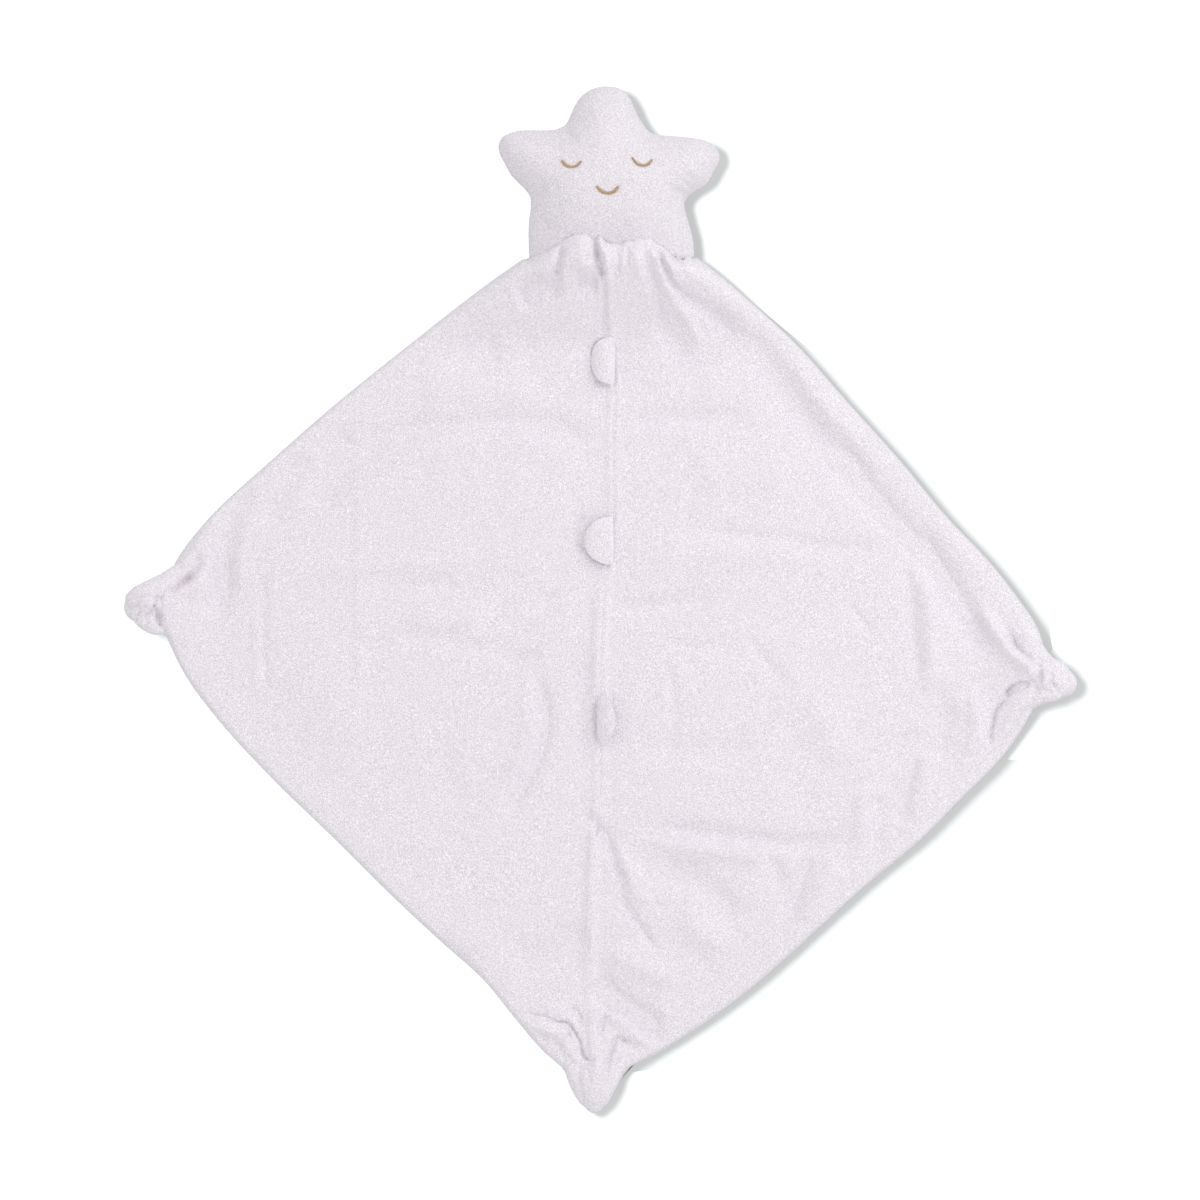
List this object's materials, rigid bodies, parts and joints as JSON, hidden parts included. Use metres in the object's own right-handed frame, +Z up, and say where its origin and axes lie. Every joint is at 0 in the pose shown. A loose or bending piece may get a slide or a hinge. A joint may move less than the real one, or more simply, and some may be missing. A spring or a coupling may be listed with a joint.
{
  "type": "comfort blanket",
  "caption": "Square plush comfort blanket laid flat, its corners tied in knots, with a small stuffed star head sewn to the top corner.",
  "frame": {"origin": "under the middle of the whole outline, on the surface that the blanket lies on", "axes": "+X to the right and +Y towards the head, seen from above; +Z up, out of the front of the blanket"},
  "size_m": [0.4016, 0.4318, 0.0359],
  "materials": {
    "plush": "short curly pile",
    "plush_back": "short curly pile",
    "filling": "loose polyester fibre",
    "thread": "matt sewing thread",
    "face_thread": "satin stitch"
  },
  "bodies": {
    "blanket": {"front_panel_left": "plush", "front_panel_right": "plush", "back_panel": "plush_back", "neck_gather": "plush", "centre_seam_thread": "thread", "edge_seam_thread": "thread"},
    "head": {"head_front_cover": "plush", "head_back_cover": "plush", "head_seam_thread": "thread", "neck_seam_thread": "thread", "filling_middle": "filling", "filling_point_top": "filling", "filling_point_left": "filling", "filling_point_right": "filling", "eye_left": "face_thread", "eye_right": "face_thread", "mouth": "face_thread"},
    "upper_tab": {"seam_tab_upper": "plush"},
    "middle_tab": {"seam_tab_middle": "plush"},
    "lower_tab": {"seam_tab_lower": "plush"},
    "left_knot": {"corner_knot_left": "plush"},
    "right_knot": {"corner_knot_right": "plush"},
    "bottom_knot": {"corner_knot_bottom": "plush"}
  },
  "joints": [
    {"name": "head_nod", "type": "hinge", "parent": "blanket", "child": "head", "pos_m": [0.0042, 0.1432, 0.016], "axis": [1, 0, 0], "range_deg": [0, 75], "deforming": ["neck_gather"]},
    {"name": "upper_tab_fold", "type": "hinge", "parent": "blanket", "child": "upper_tab", "pos_m": [0.00545, 0.101, 0.00737], "axis": [0, 1, 0], "range_deg": [0, 125]},
    {"name": "middle_tab_fold", "type": "hinge", "parent": "blanket", "child": "middle_tab", "pos_m": [0.00499, 0.0254, 0.00745], "axis": [0, 1, 0], "range_deg": [0, 145]},
    {"name": "lower_tab_fold", "type": "hinge", "parent": "blanket", "child": "lower_tab", "pos_m": [0, -0.05, 0.00745], "axis": [0, 1, 0], "range_deg": [-103, 35]},
    {"name": "left_knot_lift", "type": "hinge", "parent": "blanket", "child": "left_knot", "pos_m": [-0.185, -0.0025, 0.0075], "axis": [0, 1, 0], "range_deg": [0, 45]},
    {"name": "right_knot_lift", "type": "hinge", "parent": "blanket", "child": "right_knot", "pos_m": [0.185, -0.033, 0.0075], "axis": [0, -1, 0], "range_deg": [0, 45]},
    {"name": "bottom_knot_lift", "type": "hinge", "parent": "blanket", "child": "bottom_knot", "pos_m": [-0.0013, -0.2001, 0.0075], "axis": [-1, 0, 0], "range_deg": [0, 45]}
  ]
}
